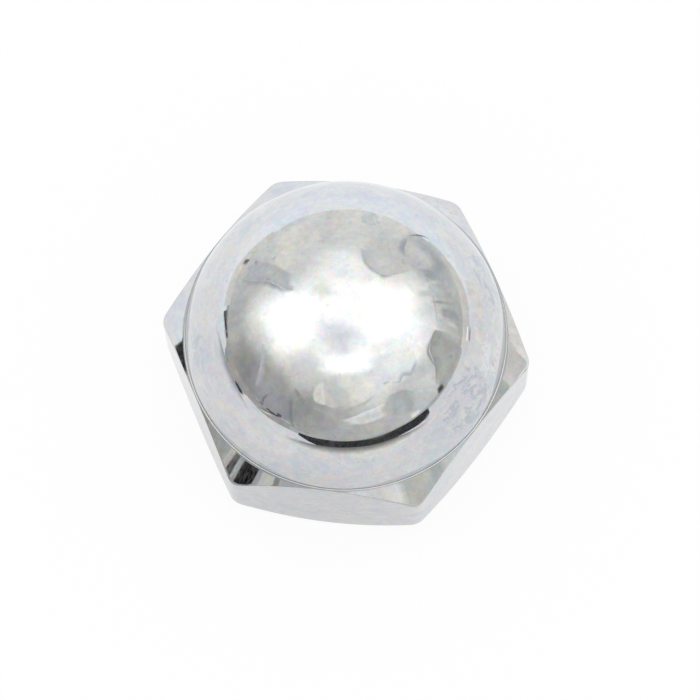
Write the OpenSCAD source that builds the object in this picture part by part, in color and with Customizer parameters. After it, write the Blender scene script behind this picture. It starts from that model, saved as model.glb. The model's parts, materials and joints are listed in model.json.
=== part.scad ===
// Domed axle nut with a closed end, also called an acorn or cap nut.
// It is one piece of plated steel: a hexagon for the spanner, a round dome above it that
// covers the end of the axle, and a blind threaded hole that opens in the bearing face.
// The bearing face lies on z = 0, the thread's axis is +Z, and two of the hexagon's
// corners lie on the X axis. All sizes are in millimetres and all angles in degrees.

/* [Hexagon] */
// Width across the flats, which is the spanner size
across_flats = 19; // [17:0.5:30]
// Height from the bearing face to the land round the dome
hex_h = 7.1; // [5.9:0.1:16]
// Radius of the six upright edges
edge_r = 0.85; // [0.2:0.05:2]

/* [Corner facets] */
// Slope of the facets on the upper corners, from the level
facet_angle = 45; // [20:1:60]
// Slope of the facets on the lower corners, from the level
bearing_facet_angle = 52; // [20:1:60]
// How far the rim of the bearing face stands in from the flats
bearing_inset = 0.12; // [0.05:0.01:1]

/* [Dome] */
// Height of the dome above the hexagon
dome_h = 8.05; // [6:0.05:10]
// How far the foot of the dome stands in from the flats
dome_inset = 0.165; // [0.1:0.005:2]
// Radius of the fillet round the foot of the dome
foot_fillet_r = 0.12; // [0.05:0.01:1]
// Width of the level land between the fillet and the upper facets
land_w = 0.08; // [0.02:0.01:2]

/* [Threaded hole] */
// Nominal diameter of the thread
thread_d = 12; // [8:0.5:14.5]
// Pitch of the thread
thread_pitch = 1.5; // [0.75:0.25:2]
// Metal left in the crown of the dome, above the tip of the drill point
crown_t = 1.8; // [1:0.1:3]
// Point angle of the drill that made the hole
drill_point_angle = 118; // [110:1:140]
// How far the countersink's rim stands out from the thread's nominal diameter
countersink_margin = 0.5; // [0.1:0.05:1]
// Included angle of the countersink
countersink_angle = 90; // [60:5:120]

/* [Hidden] */
$fn = 120;

// An arc that runs into a face reaches this far past it, so that the two cross cleanly
arc_overlap = 0.0005;
// Extra reach of a cut past the surface that it opens
overcut = 1;
// How far the sections of the dome and its fillet sink into the section they stand on
lap = 0.1;

// Hexagon: the upright edges are arcs about six centres, and corner_r is their furthest reach
edge_centre_r = (across_flats / 2 - edge_r) / cos(30);
corner_r = edge_centre_r + edge_r;
bearing_r = across_flats / 2 - bearing_inset;
nut_h = hex_h + dome_h;

// Dome: the sphere through the foot circle and the apex
foot_r = across_flats / 2 - dome_inset;
sphere_r = (foot_r * foot_r + dome_h * dome_h) / (2 * dome_h);
sphere_z = nut_h - sphere_r;

// Fillet: its centre lies one fillet radius above the land and one outside the sphere
fillet_reach = sphere_r + foot_fillet_r - arc_overlap;
fillet_z = hex_h + foot_fillet_r - arc_overlap;
fillet_r = sqrt(pow(fillet_reach, 2) - pow(fillet_z - sphere_z, 2));
touch_share = sphere_r / fillet_reach;
touch = [fillet_r * touch_share, sphere_z + (fillet_z - sphere_z) * touch_share];
facet_r = fillet_r + land_w;

// Hole: drilled to the thread's minor diameter, which is 1.0825 pitches under the nominal one
bore_r = (thread_d - 1.0825 * thread_pitch) / 2;
drill_tip_h = bore_r / tan(drill_point_angle / 2);
bore_depth = nut_h - crown_t - drill_tip_h;
countersink_r = thread_d / 2 + countersink_margin;
countersink_h = (countersink_r - bore_r) / tan(countersink_angle / 2);

// Outline of the hexagon bar: six flats that run into the arcs of the upright edges
module bar_outline() {
    polygon([for (corner = [0 : 60 : 300]) for (side = [-30, 30])
        edge_centre_r * [cos(corner), sin(corner)] + edge_r * [cos(corner + side), sin(corner + side)]]);
    for (corner = [0 : 60 : 300])
        rotate(corner) translate([edge_centre_r + arc_overlap, 0]) circle(r = edge_r);
}

// Half section of the hexagon's height: bearing face, lower facets, upper facets and land
module body_section() {
    rim = corner_r + overcut;
    polygon([
        [0, 0],
        [bearing_r, 0],
        [rim, (rim - bearing_r) * tan(bearing_facet_angle)],
        [rim, hex_h - (rim - facet_r) * tan(facet_angle)],
        [facet_r, hex_h],
        [0, hex_h]
    ]);
}

// Half section of the dome, from a little below the land up to the apex
module dome_section() {
    intersection() {
        translate([0, sphere_z]) circle(r = sphere_r);
        translate([0, hex_h - lap]) square([sphere_r + lap, dome_h + 2 * lap]);
    }
}

// Half section of the fillet: the corner between land and dome, less a circle that touches both
module fillet_section() {
    difference() {
        polygon([[foot_r - lap, hex_h - lap], [fillet_r, hex_h - lap], [fillet_r, fillet_z], touch]);
        translate([fillet_r, fillet_z]) circle(r = foot_fillet_r);
    }
}

// The shape as turned on the lathe, before the flats
module turned_blank() {
    rotate_extrude() {
        body_section();
        dome_section();
        fillet_section();
    }
}

// Half section of the blind hole: countersunk mouth, minor diameter of the thread, drill point
module hole_section() {
    polygon([
        [0, -overcut],
        [countersink_r + overcut * tan(countersink_angle / 2), -overcut],
        [bore_r, countersink_h],
        [bore_r, bore_depth],
        [0, bore_depth + drill_tip_h]
    ]);
}

module axle_nut() {
    color([0.80, 0.81, 0.83])
        difference() {
            intersection() {
                turned_blank();
                translate([0, 0, -overcut])
                    linear_extrude(nut_h + 2 * overcut) bar_outline();
            }
            rotate_extrude() hole_section();
        }
}

axle_nut();
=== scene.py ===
# %% [markdown]
# # A chromed axle nut
#
# This notebook gives a domed axle nut its finish. The nut is one piece of steel: hexagon
# bar is turned to a ball on top, the corners are faceted, a blind hole is drilled and
# tapped from below, and the whole is polished and chrome plated. The construction comes
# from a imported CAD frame, so its size is settled before the first cell runs. What is left
# to make here is what makes metal look like metal: true edges, a true thread, a mirror
# that isn't quite perfect, and something worth mirroring.

import json
import math
from typing import NamedTuple

import bmesh
import bpy
from mathutils import Matrix, Vector
from mathutils.noise import noise_vector


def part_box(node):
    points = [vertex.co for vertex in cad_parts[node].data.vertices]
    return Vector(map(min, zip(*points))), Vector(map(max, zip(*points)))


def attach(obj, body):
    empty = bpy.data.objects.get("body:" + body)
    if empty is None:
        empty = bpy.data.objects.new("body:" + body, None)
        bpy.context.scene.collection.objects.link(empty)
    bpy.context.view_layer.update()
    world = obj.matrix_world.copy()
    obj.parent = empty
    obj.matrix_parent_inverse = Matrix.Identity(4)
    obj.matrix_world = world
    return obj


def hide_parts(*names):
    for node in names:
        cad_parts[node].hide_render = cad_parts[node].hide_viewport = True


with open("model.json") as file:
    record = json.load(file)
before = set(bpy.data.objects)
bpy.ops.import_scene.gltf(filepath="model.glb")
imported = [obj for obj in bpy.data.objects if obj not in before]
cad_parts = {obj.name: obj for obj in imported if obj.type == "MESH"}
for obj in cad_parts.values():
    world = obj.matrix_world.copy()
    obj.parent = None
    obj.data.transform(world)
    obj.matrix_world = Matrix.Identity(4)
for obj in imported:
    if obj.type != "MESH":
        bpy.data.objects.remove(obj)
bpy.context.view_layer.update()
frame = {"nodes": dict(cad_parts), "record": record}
MM = 0.001
print("nodes in the frame:", sorted(frame["nodes"]))

# %% [markdown]
# ## Sizes
#
# The hexagon, the height and the bore are read from the frame, so a nut of another size
# would carry its looks along. Only what a frame's box can't tell is written here. The
# rounding of the corners follows from the box too: a sharp hexagon would be wider across
# its corners than the box is, and the difference gives the radius.

# %% Read the nut's sizes
NUT = "axle_nut"
lowest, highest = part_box(NUT)
thread_mount = next(m for m in frame["record"]["mounts"] if m["name"] == "thread")

half_flats = highest.y
half_corners = highest.x
corner_stretch = 1 / math.cos(math.radians(30))
corner_radius = (half_flats * corner_stretch - half_corners) / (corner_stretch - 1)

nut_sizes = {
    "Half across flats": half_flats,
    "Corner radius": corner_radius,
    "Hexagon height": 7.1 * MM,
    "Total height": highest.z,
    "Dome foot radius": half_flats - 0.11 * MM,
    "Foot fillet radius": 0.05 * MM,
    "Land width": 0.03 * MM,
    "Upper facet slope": math.radians(45),
    "Lower facet slope": math.radians(52),
    "Bearing face radius": half_flats - 0.12 * MM,
    "Edge softness": 0.05 * MM,
    "Bore radius": thread_mount["dims"]["r_mm"] * MM,
    "Thread radius": 6.0 * MM,
    "Thread pitch": 1.5 * MM,
    "Countersink radius": 6.5 * MM,
    "Full thread depth": 8.0 * MM,
    "Drilled depth": 10.233 * MM,
    "Drill point slope": math.radians(31),
}
print(f"across flats {2 * half_flats / MM:.2f} mm, height {highest.z / MM:.2f} mm")
print(f"upright edges rounded to {corner_radius / MM:.2f} mm")

# %% [markdown]
# ## One class for node maths
#
# Both the shape and the finish of this nut follow formulas, and Blender writes formulas as
# nodes. Wiring Math nodes by hand hides the formula, so a small class lets Python's own
# signs do it: `a + b` on two wires adds an Add node and returns the wire that leaves it.
# Every other node comes from one method, which sets a node's choices first and then feeds
# its sockets.

# %% The Wire class
class Wire:
    """A value on its way through a node tree. Python's signs add the Math nodes."""

    def __init__(self, tree, socket=None):
        self.tree = tree
        self.socket = socket

    def node(self, kind, settings=None, feeds=None, output=0):
        """Adds a node, makes its settings, feeds its sockets and returns one output."""
        node = self.tree.nodes.new(kind)
        for setting, choice in (settings or {}).items():
            if setting == "stops":
                self.set_stops(node.color_ramp, choice)
            else:
                setattr(node, setting, choice)
        for name, feed in (feeds or {}).items():
            for source in feed if isinstance(feed, list) else [feed]:
                if isinstance(source, Wire):
                    self.tree.links.new(source.socket, node.inputs[name])
                else:
                    node.inputs[name].default_value = source
        return Wire(self.tree, node.outputs[output]) if node.outputs else None

    @staticmethod
    def set_stops(ramp, stops):
        for place, colour in stops[len(ramp.elements):]:
            ramp.elements.new(place)
        for element, (place, colour) in zip(ramp.elements, stops):
            element.position = place
            element.color = (*colour, 1)

    def math(self, operation, *values, clamp=False):
        settings = {"operation": operation, "use_clamp": clamp}
        return self.node("ShaderNodeMath", settings, dict(enumerate(values)))

    def __add__(self, other):
        return self.math("ADD", self, other)

    __radd__ = __add__

    def __sub__(self, other):
        return self.math("SUBTRACT", self, other)

    def __rsub__(self, other):
        return self.math("SUBTRACT", other, self)

    def __mul__(self, other):
        return self.math("MULTIPLY", self, other)

    __rmul__ = __mul__

    def __truediv__(self, other):
        return self.math("DIVIDE", self, other)

    def __rtruediv__(self, other):
        return self.math("DIVIDE", other, self)

    def power(self, exponent):
        return self.math("POWER", self, exponent)

    def squared(self):
        return self.math("MULTIPLY", self, self)

    def __neg__(self):
        return self.math("MULTIPLY", self, -1)

    def sin(self):
        return self.math("SINE", self)

    def cos(self):
        return self.math("COSINE", self)

    def tan(self):
        return self.math("TANGENT", self)

    def sqrt(self):
        return self.math("SQRT", self)

    def floor(self):
        return self.math("FLOOR", self)

    def fraction(self):
        return self.math("FRACT", self)

    def absolute(self):
        return self.math("ABSOLUTE", self)

    def angle_from(self, run):
        """The angle whose tangent is this wire over run."""
        return self.math("ARCTAN2", self, run)

    def at_least(self, floor):
        return self.math("MAXIMUM", self, floor)

    def at_most(self, ceiling):
        return self.math("MINIMUM", self, ceiling)

    def ease(self, start, end):
        """0 up to start, 1 past end, and a smooth rise between them."""
        settings = {"interpolation_type": "SMOOTHSTEP"}
        feeds = {"Value": self, "From Min": start, "From Max": end}
        return self.node("ShaderNodeMapRange", settings, feeds)

    def between(self, start, end):
        """Start where this wire is 0, end where it is 1."""
        return start + (end - start) * self


print("the Wire class is ready")

# %% [markdown]
# ## The camera
#
# The nut is seen from high up on one side, close to straight down. The camera is placed by
# two angles and a distance, counted in widths across the flats, and is turned a little on
# its own axis. Its long lens keeps the hexagon's far side almost as large as its near side.

# %% Place the camera
CAMERA_SIDE = math.radians(9.31)
CAMERA_HEIGHT = math.radians(71.77)
CAMERA_ROLL = math.radians(-2.05)
CAMERA_DISTANCE = 21.2 * half_flats
LENS_MM = 177.3
SHIFT_X = 0.0065
SHIFT_Y = -0.0217

right = Vector((math.cos(CAMERA_SIDE), math.sin(CAMERA_SIDE), 0))
away = Vector((-math.sin(CAMERA_SIDE), math.cos(CAMERA_SIDE), 0))
towards_camera = Vector((0, 0, math.sin(CAMERA_HEIGHT))) - away * math.cos(CAMERA_HEIGHT)
upright = towards_camera.cross(right)
rolled_right = right * math.cos(CAMERA_ROLL) + upright * math.sin(CAMERA_ROLL)
rolled_up = towards_camera.cross(rolled_right)


def place_camera(aim):
    lens = bpy.data.cameras.new("camera")
    lens.lens = LENS_MM
    lens.shift_x = SHIFT_X
    lens.shift_y = SHIFT_Y
    camera = bpy.data.objects.new("camera", lens)
    turn = Matrix((rolled_right, rolled_up, towards_camera)).transposed()
    spot = aim + towards_camera * CAMERA_DISTANCE
    camera.matrix_world = Matrix.Translation(spot) @ turn.to_4x4()
    bpy.context.scene.collection.objects.link(camera)
    bpy.context.scene.camera = camera
    return spot


camera_spot = place_camera(Vector((0, 0, nut_sizes["Hexagon height"])))
bpy.context.scene.view_settings.view_transform = "Standard"
print("camera at", [round(value / MM) for value in camera_spot], "mm")

# %% [markdown]
# ## The nut's skin as a rule
#
# A turned part is a section swept round an axis. A nut is almost that: only its hexagon
# changes with the angle. So the skin is made as a stack of bands, each one a flat grid
# that is wrapped round the axis. A grid's column says which way to look from the axis,
# and its row says how far along the band's own line to go. The rule for a band is then
# just two formulas, for the radius and for the height.
#
# The columns come first. Counted from one corner of the hexagon to the next, they run
# evenly along the flat and evenly round each corner's arc, so both get true points.

# %% Columns of the skin
COLUMNS_ALONG_FLAT = 28
COLUMNS_ROUND_HALF_CORNER = 7
COLUMNS_PER_SIDE = COLUMNS_ALONG_FLAT + 2 * COLUMNS_ROUND_HALF_CORNER
COLUMNS = 6 * COLUMNS_PER_SIDE


def start_tree(name, inputs):
    """A new geometry tree with one named number input for each of the sizes."""
    tree = bpy.data.node_groups.new(name, "GeometryNodeTree")
    for label, size in inputs.items():
        socket = tree.interface.new_socket(label, in_out="INPUT", socket_type="NodeSocketFloat")
        socket.default_value = size
    tree.interface.new_socket("Geometry", in_out="OUTPUT", socket_type="NodeSocketGeometry")
    group_input = tree.nodes.new("NodeGroupInput")
    wires = {label: Wire(tree, group_input.outputs[label]) for label in inputs}
    return tree, wires


skin_tree, size = start_tree("nut_skin", nut_sizes)
wiring = Wire(skin_tree)
place = wiring.node("GeometryNodeInputPosition")
column = wiring.node("ShaderNodeSeparateXYZ", feeds={0: place}, output="X")
step = wiring.node("ShaderNodeSeparateXYZ", feeds={0: place}, output="Y")

side = (column / COLUMNS_PER_SIDE).floor()
from_middle = column - side * COLUMNS_PER_SIDE - COLUMNS_PER_SIDE / 2
along_flat = from_middle.at_least(-COLUMNS_ALONG_FLAT / 2).at_most(COLUMNS_ALONG_FLAT / 2)
round_corner = (from_middle - along_flat) * (math.radians(30) / COLUMNS_ROUND_HALF_CORNER)

corner_centre = size["Half across flats"] - size["Corner radius"]
half_flat_length = corner_centre * math.tan(math.radians(30))
outline_x = corner_centre + size["Corner radius"] * round_corner.cos()
outline_y = (half_flat_length * along_flat / (COLUMNS_ALONG_FLAT / 2)
             + size["Corner radius"] * round_corner.sin())
outline = (outline_x.squared() + outline_y.squared()).sqrt()
facing = side * math.radians(60) + math.radians(30) + outline_y.angle_from(outline_x)
even_facing = column * (2 * math.pi / COLUMNS)
print(f"{COLUMNS} columns, {COLUMNS_PER_SIDE} for each side of the hexagon")

# %% [markdown]
# A band needs only a few words: how many rows it has, and where a point lies when its row
# is a given share of the way down. Straight bands run between two places, and rounded ones
# turn about a centre. `wrap` puts the grid where those formulas say.

# %% How a band is made
bands = []


def wrap(rows, radius, height, angle=facing):
    """Wraps a grid of rows round the axis and keeps it as one band of the skin."""
    counts = {"Size X": COLUMNS, "Size Y": 1.0, "Vertices X": COLUMNS + 1, "Vertices Y": rows + 1}
    grid = wiring.node("GeometryNodeMeshGrid", feeds=counts)
    corner_at_zero = {"Geometry": grid, "Translation": (COLUMNS / 2, 0.5, 0)}
    flat = wiring.node("GeometryNodeTransform", feeds=corner_at_zero)
    wrapped = {"X": radius * angle.cos(), "Y": radius * angle.sin(), "Z": height}
    position = wiring.node("ShaderNodeCombineXYZ", feeds=wrapped)
    feeds = {"Geometry": flat, "Position": position}
    bands.append(wiring.node("GeometryNodeSetPosition", feeds=feeds))


def straight_band(rows, start, end, angle=facing):
    """A band along the straight line from one (radius, height) to another."""
    wrap(rows, step.between(start[0], end[0]), step.between(start[1], end[1]), angle)


def round_band(rows, centre, radius, first, last):
    """A band along an arc about a (radius, height), between two angles from the level."""
    turn = step.between(first, last)
    wrap(rows, centre[0] + radius * turn.cos(), centre[1] + radius * turn.sin())


print("bands can be straight or round")

# %% [markdown]
# ## The dome and its foot
#
# On the real nut the ball is turned with a form tool, and the tool's rounded nose leaves a
# fillet where the ball meets the hexagon. The sphere goes through the apex and the foot
# circle. The fillet's centre lies one fillet radius from the ball and one above the land,
# which fixes it, and the ball stops where the two touch.

# %% Dome, fillet and land
LEVEL = 0.0
UP = math.radians(90)
DOWN = math.radians(-90)

dome_height = size["Total height"] - size["Hexagon height"]
ball_radius = (size["Dome foot radius"].squared() + dome_height.squared()) / (dome_height * 2)
ball_centre = size["Total height"] - ball_radius
fillet_height = size["Hexagon height"] + size["Foot fillet radius"]
fillet_reach = ball_radius + size["Foot fillet radius"]
fillet_rise = fillet_height - ball_centre
fillet_radius = (fillet_reach.squared() - fillet_rise.squared()).sqrt()
touch_angle = fillet_rise.angle_from(fillet_radius)
facet_circle = fillet_radius + size["Land width"]

round_band(64, (0.0, ball_centre), ball_radius, UP, touch_angle)
round_band(6, (fillet_radius, fillet_height), size["Foot fillet radius"],
           touch_angle + math.pi, math.radians(270))
print("dome bands made")

# %% [markdown]
# ## The hexagon and its facets
#
# Polishing takes the sharpness off every edge. Each edge here is an arc of a small radius
# that touches both its neighbours, so its centre is where two lines cross that lie one
# radius inside the metal. On the middle of a flat there is no room for a facet: the two
# edges' centres meet there, which a minimum takes care of, and the facet band closes up
# into nothing.

# %% Edges, facets and flats
soft = size["Edge softness"]
upper_slope = size["Upper facet slope"]
lower_slope = size["Lower facet slope"]


def half_tangent(angle):
    return (angle / 2).tan()


wall = outline - soft
land_edge = (facet_circle - soft * half_tangent(upper_slope)).at_most(wall)
land_level = size["Hexagon height"] - soft
facet_drop = (outline - facet_circle) * upper_slope.tan()
facet_end = (size["Hexagon height"] - facet_drop - soft * half_tangent(UP - upper_slope))
facet_end = facet_end.at_most(land_level)
lower_rise = (outline - size["Bearing face radius"]) * lower_slope.tan()
lower_start = lower_rise + soft * half_tangent(UP - lower_slope)
rim = size["Bearing face radius"] - soft * half_tangent(lower_slope)

upper_lean = UP - upper_slope
lower_lean = lower_slope - UP


def edge_point(centre, lean):
    """Where an edge's arc ends, on the side that leans at this angle."""
    return centre[0] + soft * lean.cos(), centre[1] + soft * lean.sin()


land_corner = (land_edge, land_level)
facet_corner = (wall, facet_end)
lower_corner = (wall, lower_start)
rim_corner = (rim, soft)

straight_band(1, (fillet_radius, size["Hexagon height"]), (land_edge, size["Hexagon height"]))
round_band(4, land_corner, soft, UP, upper_lean)
straight_band(10, edge_point(land_corner, upper_lean), edge_point(facet_corner, upper_lean))
round_band(4, facet_corner, soft, upper_lean, LEVEL)
straight_band(10, (outline, facet_end), (outline, lower_start))
round_band(4, lower_corner, soft, LEVEL, lower_lean)
straight_band(3, edge_point(lower_corner, lower_lean), edge_point(rim_corner, lower_lean))
round_band(4, rim_corner, soft, lower_lean, DOWN)
print("hexagon bands made")

# %% [markdown]
# ## The tapped hole
#
# A thread is a groove that climbs one pitch for each turn. If the grid's rows ran level,
# its crests would be cut into steps, so the rows climb too: every row is a helix, and a
# crest follows one row all the way. Rows that would leave the hole at either end are held
# at the end's height, where they fall together and are merged later.
#
# The tap stops before the drill point, so the groove runs out over the last turn. Where
# the hole opens, the countersink is simply wider than the groove, and the larger of the
# two radii is the surface.

# %% Countersink, thread and drill point
ROWS_PER_PITCH = 16
THREAD_TURNS = 8
CREST_SHARE = 0.25
ROOT_SHARE = 0.125
FLANK_SHARE = (1 - CREST_SHARE - ROOT_SHARE) / 2
GROOVE_FADE = 1.5 * MM

bore = size["Bore radius"]
mouth = size["Countersink radius"]
first_row = mouth - size["Thread radius"] - 0.05 * MM
last_row = size["Full thread depth"] + GROOVE_FADE

turn_share = even_facing / (2 * math.pi)
climb = (step * THREAD_TURNS - 1 + turn_share) * size["Thread pitch"] + first_row
level = climb.at_least(first_row).at_most(last_row)
phase = ((level - first_row) / size["Thread pitch"] - turn_share + 1).fraction()
from_crest = (phase - 0.5).absolute() * 2
groove = ((from_crest - CREST_SHARE) / (2 * FLANK_SHARE)).at_least(0.0).at_most(1.0)
fade = 1 - level.ease(size["Full thread depth"], last_row)
threaded = bore + (size["Thread radius"] - bore) * groove * fade
opened = threaded.at_least(mouth - level)

straight_band(12, (rim, 0.0), (mouth, 0.0), step.between(facing, even_facing))
straight_band(4, (mouth, 0.0), (mouth - first_row, first_row), even_facing)
wrap(ROWS_PER_PITCH * THREAD_TURNS, opened, level, even_facing)
tip = size["Drilled depth"] + bore * size["Drill point slope"].tan()
straight_band(3, (bore, last_row), (bore, size["Drilled depth"]), even_facing)
straight_band(12, (bore, size["Drilled depth"]), (0.0, tip), even_facing)
print(f"{len(bands)} bands in all")

# %% [markdown]
# The bands only lie edge to edge so far. Merging points that share a place joins them into
# one closed skin, and also gathers the dome's first row and the drill point's last row into
# single points. The modifier's inputs are set by their identifiers, because two inputs may
# share a name, and then the result is copied out as a plain mesh.

# %% Join the bands and make the mesh
MERGE_DISTANCE = 0.0002 * MM


def finish_tree(tree, geometry, material):
    """Ends a tree the way an export needs it: real geometry, with its material set."""
    wiring = Wire(tree)
    merged = wiring.node("GeometryNodeMergeByDistance",
                         feeds={"Geometry": geometry, "Distance": MERGE_DISTANCE})
    outward = wiring.node("GeometryNodeFlipFaces", feeds={"Mesh": merged})
    smooth = wiring.node("GeometryNodeSetShadeSmooth", feeds={"Geometry": outward})
    real = wiring.node("GeometryNodeRealizeInstances", feeds={"Geometry": smooth})
    dressed = wiring.node("GeometryNodeSetMaterial",
                          feeds={"Geometry": real, "Material": material})
    wiring.node("NodeGroupOutput", feeds={"Geometry": dressed})


def mesh_from_tree(name, tree, sizes):
    """Runs a tree once and returns its result as an ordinary mesh object."""
    seed = bpy.data.objects.new(name + "_seed", bpy.data.meshes.new(name + "_seed"))
    bpy.context.scene.collection.objects.link(seed)
    modifier = seed.modifiers.new("skin", "NODES")
    modifier.node_group = tree
    for socket in tree.interface.items_tree:
        if socket.name in sizes:
            modifier[socket.identifier] = sizes[socket.name]
    evaluated = seed.evaluated_get(bpy.context.evaluated_depsgraph_get())
    piece = bpy.data.objects.new(name, bpy.data.meshes.new_from_object(evaluated))
    bpy.data.objects.remove(seed)
    bpy.context.scene.collection.objects.link(piece)
    return piece


chrome = bpy.data.materials.new("chrome_plate")
chrome.use_nodes = True
skin = wiring.node("GeometryNodeJoinGeometry", feeds={"Geometry": bands})
finish_tree(skin_tree, skin, chrome)
nut = mesh_from_tree("chromed_nut", skin_tree, nut_sizes)
print(f"{len(nut.data.polygons)} faces")

# %% [markdown]
# ## The chrome
#
# On the real nut a layer of nickel and a thin skin of chromium cover the polished steel. A
# perfect mirror would look drawn, so the plating gets what handling and damp give it: thin
# films that tint it lavender, straw or blue, a fine speckle, and two pits where the steel
# shows through. Blotches of other tones, mostly darker and bluer, are laid at listed spots on
# the dome and the ring round it. The bearing face keeps the fine rings of its lathe tool, and
# the bore stays bare steel, since plating hardly reaches into a blind hole. All of it is noise
# in Object coordinates, which sticks to the metal and needs no unwrapping; a painted texture
# would blur long before this close.

# %% Patterns on the nut
def noise(wiring, place, grain, seed, detail=2.0, roughness=0.5, swirl=0.0, output=0):
    """A cloudy pattern from 0 to 1 whose lumps are about one grain across."""
    settings = {"noise_dimensions": "4D"}
    feeds = {"Vector": place, "W": seed, "Scale": 1 / grain,
             "Detail": detail, "Roughness": roughness, "Distortion": swirl}
    return wiring.node("ShaderNodeTexNoise", settings, feeds, output)


def mix_colours(wiring, share, first, second):
    """The first colour where share is 0, the second where it is 1."""
    settings = {"data_type": "RGBA"}
    feeds = {"Factor": share, 6: first, 7: second}
    return wiring.node("ShaderNodeMix", settings, feeds, output=2)


# %% Make the chrome
CHROME = (0.622, 0.630, 0.646, 1)
HAZE = (0.67, 0.68, 0.70, 1)
STEEL = (0.30, 0.29, 0.28, 1)
LAND = (0.33, 0.34, 0.35, 1)
FILMS = {
    "lavender": ((0.585, 0.585, 0.65, 1), 2.2 * MM, 21.0),
    "straw": ((0.68, 0.65, 0.61, 1), 1.7 * MM, 33.0),
    "blue": ((0.54, 0.59, 0.635, 1), 2.8 * MM, 47.0),
}
FILM_STRENGTH = 0.65
DOME_BLOTCHES = [
    ((7.7, -3.8, 9.6), 2.8, (0.48, 0.51, 0.57, 1)),
    ((8.4, -1.0, 9.4), 2.0, (0.72, 0.72, 0.75, 1)),
    ((7.5, 3.5, 9.2), 2.6, (0.48, 0.53, 0.58, 1)),
    ((-7.0, 4.5, 9.0), 2.4, (0.53, 0.59, 0.60, 1)),
    ((-8.2, -2.9, 9.4), 1.4, (0.50, 0.55, 0.60, 1)),
    ((0.9, 4.9, 13.8), 0.9, (0.52, 0.56, 0.60, 1)),
]
BLOTCH_STRENGTH = 0.95
TURNING_FEED = 0.22 * MM
GRAIN_SIZE = 0.30 * MM
GRAIN_DEPTH = 0.55
PITS = [((8.77, -1.36, 9.05), 0.07), ((5.21, 8.47, 6.62), 0.06)]


def nearness(wiring, place, spot, reach):
    """1 at a spot on the nut, given in millimetres, easing to 0 at its reach."""
    centre = tuple(value * MM for value in spot)
    away_from = wiring.node("ShaderNodeVectorMath", {"operation": "DISTANCE"},
                            {0: place, 1: centre}, output="Value")
    return 1 - away_from.ease(reach * 0.5 * MM, reach * MM)


def make_chrome(material):
    tree = material.node_tree
    tree.nodes.clear()
    wiring = Wire(tree)
    place = wiring.node("ShaderNodeTexCoord", output="Object")
    x = wiring.node("ShaderNodeSeparateXYZ", feeds={0: place}, output="X")
    y = wiring.node("ShaderNodeSeparateXYZ", feeds={0: place}, output="Y")
    z = wiring.node("ShaderNodeSeparateXYZ", feeds={0: place}, output="Z")
    from_axis = (x.squared() + y.squared()).sqrt()

    waves = noise(wiring, place, 3.5 * MM, 3.0, detail=1.0)
    clouds = noise(wiring, place, 1.8 * MM, 8.0, detail=6.0, roughness=0.65, swirl=1.0)
    speckle = noise(wiring, place, GRAIN_SIZE, 61.0, detail=4.0, roughness=0.7, output=1)
    grains = wiring.node("ShaderNodeVectorMath", {"operation": "MULTIPLY_ADD"},
                         {0: speckle, 1: (GRAIN_DEPTH,) * 3, 2: (1 - GRAIN_DEPTH / 2,) * 3})
    marks = noise(wiring, place, 1.3 * MM, 24.0, detail=7.0, roughness=0.7, swirl=2.5)
    haze = clouds.ease(0.45, 0.66)

    colour = mix_colours(wiring, haze, CHROME, HAZE)
    for patch_colour, grain, seed in FILMS.values():
        patches = noise(wiring, place, grain, seed, detail=6.0, roughness=0.6, swirl=1.5)
        colour = mix_colours(wiring, patches.ease(0.50, 0.60) * FILM_STRENGTH, colour, patch_colour)
    # Blotches of other tones, at listed spots on the dome and the ring round it.
    for spot, reach, patch_colour in DOME_BLOTCHES:
        blots = marks + nearness(wiring, place, spot, reach) * 0.12
        colour = mix_colours(wiring, blots.ease(0.61, 0.635) * BLOTCH_STRENGTH, colour, patch_colour)
    colour = wiring.node("ShaderNodeVectorMath", {"operation": "MULTIPLY"},
                         {0: colour, 1: grains})
    land = from_axis.ease(9.41 * MM, 9.43 * MM) * (1 - from_axis.ease(9.47 * MM, 9.50 * MM))
    land = land * z.ease(7.00 * MM, 7.05 * MM)
    colour = mix_colours(wiring, land, colour, LAND)
    for spot, reach in PITS:
        colour = mix_colours(wiring, nearness(wiring, place, spot, reach), colour, STEEL)
    inside = 1 - (z + from_axis * 0.6).ease(13.6 * MM, 13.9 * MM)
    inside = inside * (1 - from_axis.ease(6.1 * MM, 6.5 * MM))
    colour = mix_colours(wiring, inside, colour, STEEL)

    under = 1 - z.ease(0.0, 0.05 * MM)
    turning = (from_axis * (2 * math.pi / TURNING_FEED)).sin() * under
    relief = waves + turning * 0.05
    ripple = wiring.node("ShaderNodeBump", feeds={"Height": relief, "Distance": 0.03 * MM})
    roughness = haze.between(0.03, 0.10) + land * 0.25 + inside * 0.25 + under * 0.12
    feeds = {"Base Color": colour, "Metallic": 1.0, "Normal": ripple, "Roughness": roughness}
    shader = wiring.node("ShaderNodeBsdfPrincipled", feeds=feeds)
    wiring.node("ShaderNodeOutputMaterial", feeds={"Surface": shader})


make_chrome(chrome)
print(f"chrome with {len(FILMS)} films, {len(DOME_BLOTCHES)} blotches and {len(PITS)} pits")

# %% [markdown]
# ## The studio
#
# A mirror shows its surroundings, so the surroundings are half of its look. The nut lies on
# a white sheet, under a pale tent with soft lights behind its cloth. The camera sees plain
# white round the nut, and the metal sees the sheet white too, apart from painted light and
# shade on it.

# %% Directions and helpers for the studio
def compass(clock, height):
    """A direction in degrees: clock turns from behind the nut towards the camera's right."""
    clock, height = math.radians(clock), math.radians(height)
    level = away * math.cos(clock) + right * math.sin(clock)
    return level * math.cos(height) + Vector((0, 0, math.sin(height)))


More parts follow.
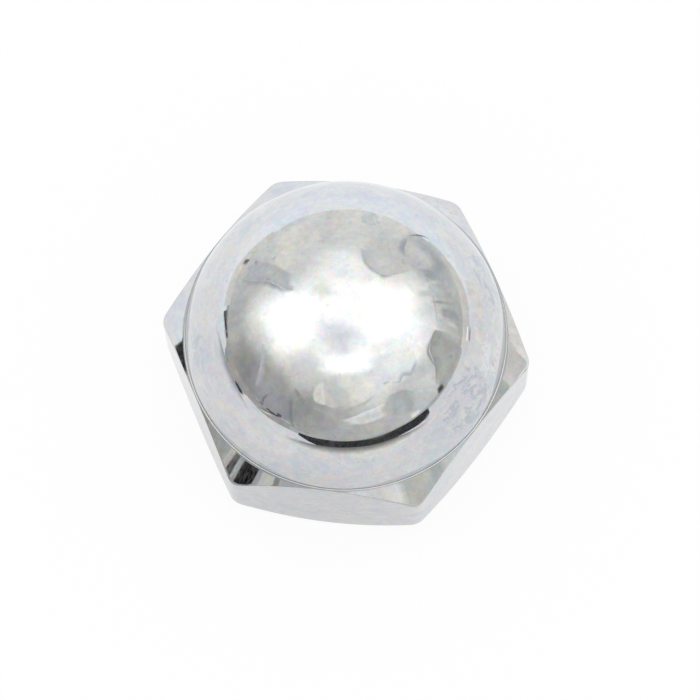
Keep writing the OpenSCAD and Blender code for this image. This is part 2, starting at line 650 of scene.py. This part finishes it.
def stage_mesh(name, points, faces, material):
    """A thing of the studio: the metal reflects it, and nothing else sees it."""
    mesh = bpy.data.meshes.new(name)
    mesh.from_pydata(points, [], faces)
    mesh.materials.append(material)
    thing = bpy.data.objects.new(name, mesh)
    bpy.context.scene.collection.objects.link(thing)
    thing.visible_camera = False
    thing.visible_diffuse = False
    thing.visible_shadow = False
    return thing


def new_material(name):
    """An empty material, and the wire that starts its nodes."""
    material = bpy.data.materials.new(name)
    material.use_nodes = True
    material.node_tree.nodes.clear()
    return material, Wire(material.node_tree)


# %% [markdown]
# ## The sheet and the world
#
# The sheet is white paper. It takes the nut's shadow as paper does, and rays that come
# straight from the camera or off the metal find it a little whiter than the lamps alone
# would make it, as a strong flash would. To the metal alone it also carries painted light and
# shade: it is painted brighter and bluer behind the nut, and darker in a painted shadow just
# in front of the nut, on the camera's left. From below it is clear, so the bearing face can
# be looked at. The world is an even white that needs no picture of a room.

# %% White sheet and white world
SHEET_SIZE = 2.4
SHEET_DROP = 0.02 * MM
DAYLIGHT = 1.05
WHITE_TO_CAMERA = 0.9
WHITE_TO_METAL = 0.7


def ray_share(wiring, kind):
    """1 for rays of one kind, 0 for all others."""
    return wiring.node("ShaderNodeLightPath", output=f"Is {kind} Ray")


def background_rays(wiring):
    """1 for what the camera and the metal see, 0 for what only lights the scene."""
    seen = ray_share(wiring, "Camera") + ray_share(wiring, "Glossy")
    return (seen + ray_share(wiring, "Transmission")).at_most(1.0)


def make_world():
    world = bpy.data.worlds.new("white_room")
    world.use_nodes = True
    world.node_tree.nodes.clear()
    wiring = Wire(world.node_tree)
    strength = background_rays(wiring).between(DAYLIGHT, 1.0)
    sky = wiring.node("ShaderNodeBackground", feeds={"Strength": strength, "Color": (1, 1, 1, 1)})
    wiring.node("ShaderNodeOutputWorld", feeds={"Surface": sky})
    bpy.context.scene.world = world


def make_sheet():
    mesh = bpy.data.meshes.new("white_sheet")
    corners = [(x * SHEET_SIZE, y * SHEET_SIZE, -SHEET_DROP)
               for x, y in ((-1, -1), (1, -1), (1, 1), (-1, 1))]
    mesh.from_pydata(corners, [], [(0, 1, 2, 3)])
    sheet = bpy.data.objects.new("white_sheet", mesh)
    bpy.context.scene.collection.objects.link(sheet)
    material = bpy.data.materials.new("white_sheet")
    material.use_nodes = True
    material.node_tree.nodes.clear()
    wiring = Wire(material.node_tree)
    place = wiring.node("ShaderNodeTexCoord", output="Object")
    # Painted light: to the metal, the sheet behind the nut is painted brighter and bluer.
    behind = wiring.node("ShaderNodeVectorMath", {"operation": "DOT_PRODUCT"},
                         {0: place, 1: tuple(away)}, output="Value")
    far = behind.ease(-10 * MM, 60 * MM)
    # Painted shadow: to the metal, the sheet is painted darker in a soft spot just in front of the
    # nut, on the camera's left.
    painted_shadow_centre = tuple(compass(205, 0) * 12 * MM)
    from_painted_shadow = wiring.node("ShaderNodeVectorMath", {"operation": "DISTANCE"},
                            {0: place, 1: painted_shadow_centre}, output="Value")
    near = 1 - from_painted_shadow.ease(4 * MM, 16 * MM)
    glossy = ray_share(wiring, "Glossy")
    glow = glossy.between(1.0, 0.98 + far * 0.26 - near * 0.14)
    tint = mix_colours(wiring, glossy * far, (1, 1, 1, 1), (0.95, 1.0, 1.05, 1))
    paper = wiring.node("ShaderNodeBsdfDiffuse", feeds={"Color": (0.95, 0.95, 0.95, 1)})
    white = wiring.node("ShaderNodeEmission", feeds={"Strength": glow, "Color": tint})
    share = (glossy * WHITE_TO_METAL
             + (ray_share(wiring, "Camera") + ray_share(wiring, "Transmission")) * WHITE_TO_CAMERA)
    lit = wiring.node("ShaderNodeMixShader", feeds={0: share, 1: paper, 2: white})
    from_below = wiring.node("ShaderNodeNewGeometry", output="Backfacing")
    clear = wiring.node("ShaderNodeBsdfTransparent")
    surface = wiring.node("ShaderNodeMixShader", feeds={0: from_below, 1: lit, 2: clear})
    wiring.node("ShaderNodeOutputMaterial", feeds={"Surface": surface})
    mesh.materials.append(material)


make_world()
make_sheet()
print("sheet and world made")

# %% [markdown]
# ## The tent
#
# A small shiny thing is lit inside a tent of thin white cloth, because a bare lamp would show
# in the chrome as a hard spot. The tent here is a ball that glows. Each entry of TENT_GLOWS
# is painted light on the cloth in one direction, standing for a lamp outside, or painted
# shade, standing for a dark thing outside. Three layers of noise make the folds: broad
# swags, streaks that hang down, and fine wrinkles. The folds calm down overhead, where cloth
# is pulled tight.

# %% The tent
TENT_RADIUS = 2.0
TENT_LIGHT = 0.66
TENT_TINT = (1.03, 1.03, 0.975, 1)
TENT_GLOWS = [
    (350, 8, 95, 0.28),
    (85, 50, 40, 0.55),
    (165, 48, 32, 0.42),
    (230, 47, 28, 0.46),
    (275, 45, 34, 0.50),
    (125, 28, 44, 0.22),
    (232, 18, 48, -0.20),
    (262, 2, 30, -0.12),
    (303, 5, 30, -0.14),
]


def direction(wiring):
    """The way from the nut to a place in the studio, one unit long."""
    place = wiring.node("ShaderNodeTexCoord", output="Object")
    return wiring.node("ShaderNodeVectorMath", {"operation": "NORMALIZE"}, {0: place})


def along(wiring, vector, axis):
    """How far a vector goes along an axis."""
    return wiring.node("ShaderNodeVectorMath", {"operation": "DOT_PRODUCT"},
                       {0: vector, 1: tuple(axis)}, output="Value")


def lobe(wiring, unit, clock, height, reach):
    """1 in one direction, easing to 0 at reach degrees away from it."""
    aim = compass(clock, height)
    agreement = along(wiring, unit, aim)
    return agreement.ease(math.cos(math.radians(reach)), 1.0)


CALM_FROM = 0.30
CALM_TO = 0.80


def cloth_folds(wiring, unit):
    """Light and shade of hanging cloth, about 1 on average and calmer overhead."""
    height = along(wiring, unit, (0, 0, 1))
    restless = 1 - height.ease(CALM_FROM, CALM_TO) * 0.80
    level = wiring.node("ShaderNodeVectorMath", {"operation": "MULTIPLY"},
                        {0: unit, 1: (1.0, 1.0, 0.0)})
    bearing = wiring.node("ShaderNodeVectorMath", {"operation": "NORMALIZE"}, {0: level})
    hanging = wiring.node("ShaderNodeVectorMath", {"operation": "MULTIPLY_ADD"},
                          {0: unit, 1: (0.0, 0.0, 0.25), 2: bearing})
    broad = noise(wiring, unit, 0.35, 5.0, detail=3.0, swirl=0.5) - 0.5
    streaks = noise(wiring, hanging, 0.09, 11.0, detail=4.0, roughness=0.6) - 0.5
    wrinkles = noise(wiring, unit, 0.11, 29.0, detail=6.0, roughness=0.75, swirl=1.0) - 0.5
    folds = broad * 0.45 + streaks * 0.30 + wrinkles * 0.50
    return 1 + folds * restless


def make_tent():
    material, wiring = new_material("tent_cloth")
    unit = direction(wiring)
    light = TENT_LIGHT
    for clock, height, reach, gain in TENT_GLOWS:
        light = light + lobe(wiring, unit, clock, height, reach) * gain
    feeds = {"Strength": light * cloth_folds(wiring, unit), "Color": TENT_TINT}
    cloth = wiring.node("ShaderNodeEmission", feeds=feeds)
    wiring.node("ShaderNodeOutputMaterial", feeds={"Surface": cloth})
    ball = bmesh.new()
    bmesh.ops.create_uvsphere(ball, u_segments=48, v_segments=24, radius=TENT_RADIUS)
    points = [tuple(vertex.co) for vertex in ball.verts]
    faces = [[vertex.index for vertex in face.verts] for face in ball.faces]
    ball.free()
    stage_mesh("tent", points, faces, material)


make_tent()
print("tent raised")

# %% [markdown]
# ## Cards and marks
#
# Inside the tent hang cards: large bright ones are the soft lights that give the dome its
# white middle, and small dull ones are the things that lie about in a studio. A card is one
# square whose material fades out towards the edge. Noise pushes that edge about, so no card
# looks cut from a template. Marks are small cards that hang close to the nut, at the height
# of its dome, where they show as dark nicks along the dome's foot.

# %% Soft cards
class Card(NamedTuple):
    """A soft light or a dark card. Its angles are in degrees, as seen from the nut."""

    name: str
    clock: float
    height: float
    wide: float
    tall: float
    glow: float
    tint: str = "grey"
    fade: float = 0.5
    warp: float = 0.3


TINTS = {
    "grey": (1.02, 1.015, 0.98, 1),
    "blue": (0.97, 1.00, 1.02, 1),
    "green": (1.00, 1.03, 0.96, 1),
    "lavender": (0.98, 0.98, 1.03, 1),
    "beige": (1.05, 1.02, 0.96, 1),
}
CARDS = [
    Card("ceiling", 0, 88, 78, 78, 1.60, fade=0.6, warp=0.3),
    Card("back_glow", 8, 52, 62, 40, 1.36, fade=1.0, warp=0.2),
    Card("left_light", 274, 52, 48, 50, 2.2, fade=1.0, warp=0.3),
    Card("right_light", 84, 59, 50, 52, 2.1, fade=1.0, warp=0.3),
    Card("front_light", 178, 58, 50, 22, 2.2, fade=1.0, warp=0.3),
    Card("front_right_glow", 128, 45, 42, 32, 1.5, fade=0.7, warp=0.5),
    Card("blue_screen", 47, 14, 34, 32, 0.56, "blue", fade=0.7, warp=0.4),
    Card("left_streak", 325, 65, 22, 24, 1.18, "green", fade=1.0, warp=0.3),
    Card("left_shade", 306, 16, 22, 22, 0.70, "blue", fade=0.8, warp=0.6),
    Card("camera_body", 204, 75, 44, 32, 1.06, "lavender", fade=1.0, warp=0.2),
    Card("tent_seam", 72, 24.5, 40, 1.2, 0.72, "blue", fade=0.9, warp=0.04),
    Card("front_shade", 235, 17, 44, 38, 0.54, "grey", fade=0.9, warp=0.5),
    Card("front_nick", 154.7, 46, 2.5, 8, 0.90, "grey", fade=0.9, warp=0.5),
    Card("front_dent", 147.8, 36, 8, 6, 0.80, "grey", fade=0.9, warp=0.5),
    Card("white_chip", 139.5, 2.5, 7, 5, 1.15, "grey", fade=0.5, warp=0.5),
    Card("stack_1", 61.5, 24, 3, 22, 0.92, "beige", fade=0.6, warp=0.2),
    Card("stack_2", 68, 24, 5, 26, 0.88, "green", fade=0.6, warp=0.2),
    Card("stack_3", 74, 17, 2.5, 24, 0.62, "blue", fade=0.6, warp=0.2),
    Card("stack_4", 80, 12, 7, 18, 0.58, "blue", fade=0.5, warp=0.2),
    Card("stack_5", 86, 15, 3, 22, 0.84, "grey", fade=0.6, warp=0.2),
    Card("wedge_spot_1", 313.6, 9, 3, 4, 0.40, "grey", fade=0.8, warp=0.5),
    Card("wedge_spot_2", 312.4, 19, 5, 3, 0.50, "blue", fade=0.8, warp=0.5),
    Card("wedge_spot_3", 318.7, 20, 4, 3, 0.60, "grey", fade=0.9, warp=0.5),
    Card("wedge_spot_4", 309.5, 30, 5, 3, 0.62, "blue", fade=0.9, warp=0.5),
]
CARD_DISTANCE = 1.0
CARD_GAP = 0.01
MARKS = [
    Card("left_mark", 249, -7, 10, 3.4, 0.06, "blue", fade=0.5, warp=0.35),
    Card("corner_mark", 311.8, -0.3, 4, 6, 0.15, "blue", fade=0.6, warp=0.4),
    Card("side_mark", 120.8, 0.6, 6.5, 6, 0.10, "grey", fade=0.7, warp=0.4),
    Card("line_end", 221.5, 2.2, 4, 3.5, 0.15, "grey", fade=0.6, warp=0.4),
    Card("brown_mark", 265, -5, 6, 1.0, 0.25, "beige", fade=0.5, warp=0.3),
    Card("pale_stripe", 87.5, -4.7, 9, 1.4, 1.5, "beige", fade=0.4, warp=0.1),
    Card("dark_stripe", 87.5, -7.4, 9, 1.6, 0.35, "beige", fade=0.6, warp=0.1),
]
MARK_DISTANCE = 90 * MM
EYE_HEIGHT = 12.2 * MM


def soft_paint(wiring, mask, glow, tint):
    """Ends a material that glows like cloth where the mask is 1 and is clear where it's 0."""
    strength = cloth_folds(wiring, direction(wiring)) * glow
    light = wiring.node("ShaderNodeEmission", feeds={"Strength": strength, "Color": TINTS[tint]})
    clear = wiring.node("ShaderNodeBsdfTransparent")
    surface = wiring.node("ShaderNodeMixShader", feeds={0: mask, 1: clear, 2: light})
    wiring.node("ShaderNodeOutputMaterial", feeds={"Surface": surface})


def hang_card(card, distance, eye_height=0.0):
    """Hangs a card facing the nut, with a mask that softens and warps its edge."""
    out = compass(card.clock, card.height)
    sideways = compass(card.clock + 90, 0)
    up = sideways.cross(out)
    centre = out * distance + Vector((0, 0, eye_height))
    half_wide = distance * math.tan(math.radians(card.wide / 2))
    half_tall = distance * math.tan(math.radians(card.tall / 2))

    material, wiring = new_material(card.name)
    place = wiring.node("ShaderNodeTexCoord", output="Object")
    x = along(wiring, place, sideways) / half_wide
    y = (along(wiring, place, up) - centre.dot(up)) / half_tall
    spot = wiring.node("ShaderNodeCombineXYZ", feeds={"X": x, "Y": y})
    seed = card.clock + card.height
    x = x + (noise(wiring, spot, 0.6, seed, detail=5.0) - 0.5) * (2 * card.warp)
    y = y + (noise(wiring, spot, 0.6, seed + 50, detail=5.0) - 0.5) * (2 * card.warp)
    reach = (x.squared().squared() + y.squared().squared()).sqrt().sqrt()
    soft_paint(wiring, 1 - reach.ease(1 - card.fade, 1.0), card.glow, card.tint)
    corners = [centre + sideways * half_wide * a + up * half_tall * b
               for a, b in ((-1, -1), (1, -1), (1, 1), (-1, 1))]
    stage_mesh(card.name, corners, [(0, 1, 2, 3)], material)


for order, card in enumerate(CARDS):
    hang_card(card, CARD_DISTANCE - order * CARD_GAP)
for card in MARKS:
    hang_card(card, MARK_DISTANCE, EYE_HEIGHT)
print(f"{len(CARDS)} cards and {len(MARKS)} marks hung")

# %% [markdown]
# ## Flaps
#
# Cloth that hangs loose has an outline of its own, and a bent mirror shows it bent again. A
# flap is drawn as a smooth path round its outline, then torn a little by noise. It is thin in
# the middle and full at its hem, as cloth with a light behind it is. Each point of the
# outline says whether the edge is crisp or melts into the tent. The cover is kept as an
# attribute on the mesh, so the material reads it and no mask has to be painted.

# %% Flaps of cloth
class Flap(NamedTuple):
    """A flap of cloth. A point of its outline is (clock, height, 1 if crisp, 0 if soft)."""

    name: str
    outline: tuple
    glow: float
    tint: str = "grey"


FLAPS = [
    Flap("notch", ((12, 36, 0), (15, 40, 1), (18.6, 45, 1), (22, 48, 1), (30.4, 50.8, 1),
                   (37.7, 51, 1), (42.4, 49.7, 1), (44.3, 46.8, 1), (46.6, 43.5, 1),
                   (49.6, 37.8, 1), (50.2, 32.6, 1), (51, 27.8, 0), (56, 17, 0), (58, 10, 0),
                   (48, 4, 0), (36, 8, 0), (24, 18, 0), (14, 28, 0)), 0.86, "grey"),
    Flap("side_box", ((92.5, 25, 1), (100, 27, 1), (106, 25, 1), (111, 18, 1), (117.5, 11, 1),
                      (121, 4, 0), (122, 0, 1), (116, -2, 1), (104, -2, 1), (93, -1, 1),
                      (91, 8, 0)), 0.54, "green"),
    Flap("left_panel", ((234, 0, 1), (234, 12, 1), (230, 19, 0), (222, 24, 0), (218.5, 20, 1),
                        (215, 11, 1), (212, 1, 1), (222, -1, 1)), 0.50, "lavender"),
    Flap("white_strip", ((196.4, 27, 1), (198.5, 33, 1), (201.2, 40.6, 1), (206, 41, 0),
                         (208, 34, 0), (205, 27, 0)), 1.10, "green"),
    Flap("pink_panel", ((196.2, 27, 1), (201, 41, 1), (190, 43, 0), (180, 41, 0), (176, 32, 0),
                        (186, 25, 0)), 0.88, "beige"),
    Flap("bright_folds", ((186, 16, 0), (176, 19, 1), (166, 22, 1), (156, 23, 1), (149, 19, 0),
                          (156, 14, 0), (166, 12, 0), (176, 11.5, 0)), 1.10),
    Flap("crumple", ((110, 46, 0), (115, 34, 1), (121, 31, 1), (128, 29.5, 1), (133, 33, 1),
                     (139, 31, 1), (144, 36, 1), (152, 37, 1), (162, 38, 1), (168, 44, 0),
                     (150, 54, 0), (130, 56, 0)), 1.22),
    Flap("green_panel", ((133, 12, 0), (137, 22, 1), (146, 26, 1), (155, 25, 0), (160, 18, 0),
                         (152, 10, 0), (142, 7, 1)), 0.70, "green"),
    Flap("wedge", ((309, -1, 0), (304, 6, 0), (303, 18, 1), (304.5, 30, 1), (302.5, 41, 1),
                   (303, 48.5, 1), (309, 48, 0), (316, 44, 0), (317, 30, 0), (316, 18, 0),
                   (314, 6, 0)), 0.66, "blue"),
]
FLAP_DISTANCE = 0.74
HEM_SHARE = 0.7
OUTLINE_STEPS = 5
TEAR = math.radians(0.6)
TEAR_SIZE = 0.09


def smooth_path(knots, steps):
    """Points on a smooth curve through the knots, a few steps for each span."""
    ends = [knots[0], *knots, knots[-1]]
    path = []
    for before, start, end, after in zip(ends, ends[1:], ends[2:], ends[3:]):
        for share in (index / steps for index in range(steps)):
            path.append([b + share / 2 * (c - a + share * (2 * a - 5 * b + 4 * c - d
                                                           + share * (3 * (b - c) + d - a)))
                         for a, b, c, d in zip(before, start, end, after)])
    return path + [list(knots[-1])]


def torn(direction_out):
    """Nudges a direction a little, by a noise that is the same on every run."""
    return (direction_out + noise_vector(direction_out / TEAR_SIZE) * TEAR).normalized()


def hang_flap(flap, distance):
    """Hangs a flap: thin in its middle, full at its hem, and crisp or soft at its edge."""
    material, wiring = new_material(flap.name)
    cover = wiring.node("ShaderNodeAttribute", {"attribute_name": "cover"}, output="Fac")
    soft_paint(wiring, cover.ease(0.0, 1.0), flap.glow, flap.tint)
    outline = smooth_path([*flap.outline, flap.outline[0]], OUTLINE_STEPS)[:-1]
    edge = [torn(compass(clock, height)) * distance for clock, height, crisp in outline]
    middle = sum(edge, Vector()) / len(edge)
    hem = [middle.lerp(point, HEM_SHARE) for point in edge]
    count = len(edge)
    pairs = [(i, (i + 1) % count) for i in range(count)]
    faces = [(0, 1 + a, 1 + b) for a, b in pairs]
    faces += [(1 + a, 1 + count + a, 1 + count + b, 1 + b) for a, b in pairs]
    thing = stage_mesh(flap.name, [middle, *hem, *edge], faces, material)
    covers = [0.45] + [0.75] * count + [crisp for clock, height, crisp in outline]
    thing.data.attributes.new("cover", "FLOAT", "POINT").data.foreach_set("value", covers)


for order, flap in enumerate(FLAPS):
    hang_flap(flap, FLAP_DISTANCE - order * CARD_GAP)
print(f"{len(FLAPS)} flaps hung")

# %% [markdown]
# ## Creases
#
# A crease is a strip that is dark on its sharp side and fades out on its soft side, and that
# tapers at both ends. Creases give the hems of the flaps their thin dark line. A line of
# even width would look like a crack in the metal, so the width follows a sine curve.

# %% Creases
class Crease(NamedTuple):
    """A crease: crisp on its path of (clock, height) knots, and soft on the width's side."""

    name: str
    path: tuple
    width: float
    glow: float
    tint: str = "grey"


CREASES = [
    Crease("notch_hem", ((13, 36), (15.2, 40.4), (18.8, 45), (22.2, 47.8), (30.4, 50.4),
                         (37.7, 50.6), (42, 49.3), (44, 46.5), (46.4, 43), (49, 38)),
           -3.5, 0.68, "blue"),
    Crease("notch_shadow", ((40, 51), (38, 56), (32, 61)), -6, 1.25, "grey"),
    Crease("screen_edge", ((33, 10), (35, 16), (37, 22), (42, 26)), -5, 0.56, "blue"),
    Crease("fold_arc", ((206, 25), (196, 22), (190, 22.4), (182, 25), (174, 27.6), (166, 29.4),
                        (157, 32)), -5, 0.64, "beige"),
    Crease("fold_arc_2", ((190, 11), (178, 9.5), (168, 10), (158, 8.5)), 3, 0.72, "beige"),
    Crease("left_fold", ((222, 24), (219, 21), (216, 13), (213.5, 4), (213, 1)), -4, 0.36,
           "blue"),
    Crease("left_line", ((233.4, -1), (233.8, 6), (234, 13)), 2, 0.28, "grey"),
    Crease("left_dark", ((221, 30), (214, 27), (208, 21)), -5, 0.44, "green"),
    Crease("left_edge", ((262, 30), (252, 24), (246, 16), (243, 8)), 5, 0.76, "lavender"),
    Crease("side_line", ((93, 25), (104, 27), (109, 23), (112.5, 15)), -3, 0.45, "green"),
    Crease("crumple_edge", ((116, 33), (121, 30), (128, 28.6), (133, 32.4), (139, 30.4),
                            (144, 35)), -4, 0.70, "grey"),
    Crease("wedge_edge", ((303, 6), (302.5, 18), (304, 30), (302, 41), (302.6, 48.6)), -4, 0.56,
           "blue"),
]
NEAR_CREASES = [
    Crease("arc_mark", ((32.8, 10), (34, 4), (35.5, 0), (37.5, -2.8), (40, -4)), -1.8, 0.22,
           "green"),
    Crease("line_mark", ((234, -1.6), (229, -0.4), (224, 0.8), (220, 1.6)), -1.0, 0.12),
    Crease("line_glint", ((233, -2.8), (228, -1.6), (224, -0.6)), -0.9, 1.2),
]
CREASE_DISTANCE = 0.62
PATH_STEPS = 8


def hang_crease(crease, distance, eye_height=0.0):
    """Hangs a crease that tapers to nothing at both ends."""
    material, wiring = new_material(crease.name)
    cover = wiring.node("ShaderNodeAttribute", {"attribute_name": "cover"}, output="Fac")
    soft_paint(wiring, cover.ease(0.0, 1.0), crease.glow, crease.tint)
    spine = [torn(compass(*knot)) for knot in smooth_path(crease.path, PATH_STEPS)]
    rise = Vector((0, 0, eye_height))
    points, covers = [], []
    for index, spot in enumerate(spine):
        run = spine[min(index + 1, len(spine) - 1)] - spine[max(index - 1, 0)]
        fullness = math.sin(math.pi * index / (len(spine) - 1)) ** 0.5
        reach = spot.cross(run).normalized() * math.radians(crease.width) * fullness
        points += [(spot + reach * share) * distance + rise for share in (0, 0.4, 1)]
        covers += [fullness, 0.7 * fullness, 0.0]
    faces = [(3 * i + row, 3 * i + 3 + row, 3 * i + 4 + row, 3 * i + 1 + row)
             for i in range(len(spine) - 1) for row in (0, 1)]
    thing = stage_mesh(crease.name, points, faces, material)
    thing.data.attributes.new("cover", "FLOAT", "POINT").data.foreach_set("value", covers)


for order, crease in enumerate(CREASES):
    hang_crease(crease, CREASE_DISTANCE - order * CARD_GAP)
for crease in NEAR_CREASES:
    hang_crease(crease, MARK_DISTANCE, EYE_HEIGHT)
print(f"{len(CREASES) + len(NEAR_CREASES)} creases hung")

# %% [markdown]
# ## Ribbons
#
# The foot of the dome and the corner facets look out sideways, so they show what stands on
# the sheet: the edge of the table, the skirting of the tent and the slats of a rail. They
# also show painted shadow on the sheet: two walls that fade to the sheet's white at their
# foot, and the front part of the left skirting. These are ribbons bent round the nut, either
# walls that stand on the sheet or level plates. They stand close, where their height above
# the sheet matters, and that is why they are built in millimetres and not in degrees.

# %% Ribbons near the nut
class Ribbon(NamedTuple):
    """A bent ribbon round the nut. A knot is (clock, radius, height, radius, height)."""

    name: str
    knots: tuple
    glow: float
    tint: str = "grey"
    skew: float = 0.0
    streaks: float = 0.0
    rise: float = 0.0


def wall(*knots):
    """Knots of a wall that stands on the sheet, each (clock, radius, height) in mm."""
    return tuple((clock, radius, 0, radius, height) for clock, radius, height in knots)


def plate(height, *knots):
    """Knots of a level plate, each (clock, inner radius, outer radius) in mm."""
    return tuple((clock, inner, height, outer, height) for clock, inner, outer in knots)


RIBBONS = [
    Ribbon("table_edge", wall((132.5, 125, 8.0), (134.5, 98, 9.2), (140, 90, 9.8), (150, 86, 9.9),
                              (165, 70, 9.6), (180, 62, 9.2), (192, 72, 8.7), (202, 105, 7.6),
                              (208.5, 170, 6.2)), 0.06, "blue", streaks=0.6),
    # Painted shadow: these two walls fade from the sheet's white at the foot to dark at the top,
    # as shade on the sheet near the nut.
    Ribbon("table_shadow", wall((128, 60, 0.5), (140, 54, 3.0), (160, 48, 5.2), (195, 48, 5.2),
                                (208, 52, 4.0), (220, 58, 0.8)), 0.30, "beige", rise=5.0),
    Ribbon("left_shadow", wall((236, 60, 0.5), (249, 56, 5.0), (268, 56, 5.4), (284, 60, 0.5)),
           0.45, "lavender", rise=6.0),
    Ribbon("front_skirting", wall((96, 420, 14), (130, 230, 12), (180, 225, 11.5),
                                  (215, 215, 11.5)), 0.62, "green"),
    # Partly painted shadow: from clock 210 to about 249 this wall is a soft painted shadow on the
    # sheet; further round it is the tent's skirting.
    Ribbon("left_skirting_and_shadow", wall((210, 230, 11.5), (226, 180, 12), (240, 175, 12), (245, 130, 12),
                                 (249, 98, 12), (262, 94, 12.5), (269, 130, 12.5),
                                 (274, 280, 12.5), (290, 300, 12.5), (312, 300, 12.5)),
           0.50, "beige"),
    Ribbon("dark_gap", wall((274.5, 262, 11.6), (277, 255, 10.2), (280, 240, 8.4),
                            (283.5, 190, 7.6), (286, 155, 8.2), (288, 150, 8.4)), 0.04, "blue",
           streaks=0.5),
    Ribbon("white_fold", wall((64, 30, 7.5), (76, 31, 6.9), (90, 33, 5.4)), 1.02, "beige"),
    Ribbon("right_skirting", wall((40, 300, 12), (60, 110, 12), (96, 110, 12.5)), 0.85, "beige"),
    Ribbon("back_skirting", wall((290, 140, 12.5), (312, 112, 12), (330, 300, 12)), 0.86, "beige"),
    Ribbon("tip_plate", plate(12.4, (194, 30, 50), (210.5, 30, 50)), 0.62, "green"),
    Ribbon("dark_stripe_plate", plate(12.4, (210.5, 30, 50), (212.9, 30, 50)), 0.36, "green"),
    Ribbon("pale_plate", plate(12.4, (212.9, 30, 50), (218.6, 30, 50)), 0.76, "green"),
    Ribbon("lavender_plate", plate(12.4, (218.6, 30, 50), (220.2, 30, 50)), 0.55, "lavender"),
    Ribbon("black_plate", plate(12.4, (220.2, 30, 50), (227.4, 30, 50)), 0.05, "beige", 1.5, 0.95),
    Ribbon("pale_slat", plate(12.4, (227.4, 30, 50), (229.9, 30, 50)), 0.55, "grey", 1.5, 0.3),
    Ribbon("dark_slat", plate(12.4, (229.9, 30, 50), (232.6, 30, 50)), 0.17, "grey", 1.5, 0.5),
    Ribbon("white_slat", plate(12.4, (232.6, 30, 50), (235.4, 30, 50)), 0.72, "grey", 1.5, 0.2),
    Ribbon("grey_plate", plate(12.4, (235.4, 30, 55), (250, 30, 55)), 0.50, "green", 1.5, 0.2),
]


def hang_ribbon(ribbon):
    material, wiring = new_material(ribbon.name)
    unit = direction(wiring)
    threads = noise(wiring, unit, 0.012, 5.0, detail=3.0).ease(0.35, 0.65)
    strength = cloth_folds(wiring, unit) * (1 - ribbon.streaks + threads * (2 * ribbon.streaks))
    glow = ribbon.glow
    if ribbon.rise:
        place = wiring.node("ShaderNodeTexCoord", output="Object")
        glow = along(wiring, place, (0, 0, 1)).ease(0.0, ribbon.rise * MM).between(1.0, glow)
    feeds = {"Strength": strength * glow, "Color": TINTS[ribbon.tint]}
    paint = wiring.node("ShaderNodeEmission", feeds=feeds)
    wiring.node("ShaderNodeOutputMaterial", feeds={"Surface": paint})
    points = []
    for knot in smooth_path(ribbon.knots, PATH_STEPS):
        clock, near_radius, near_height, far_radius, far_height = knot
        near_point = compass(clock, 0) * near_radius + Vector((0, 0, near_height))
        far_point = compass(clock + ribbon.skew, 0) * far_radius + Vector((0, 0, far_height))
        points.extend((near_point * MM, far_point * MM))
    faces = [(i, i + 2, i + 3, i + 1) for i in range(0, len(points) - 2, 2)]
    stage_mesh(ribbon.name, points, faces, material)


for ribbon in RIBBONS:
    hang_ribbon(ribbon)
print(f"{len(RIBBONS)} ribbons hung")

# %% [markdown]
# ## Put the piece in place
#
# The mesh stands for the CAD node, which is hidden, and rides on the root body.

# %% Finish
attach(nut, "root")
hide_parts(NUT)
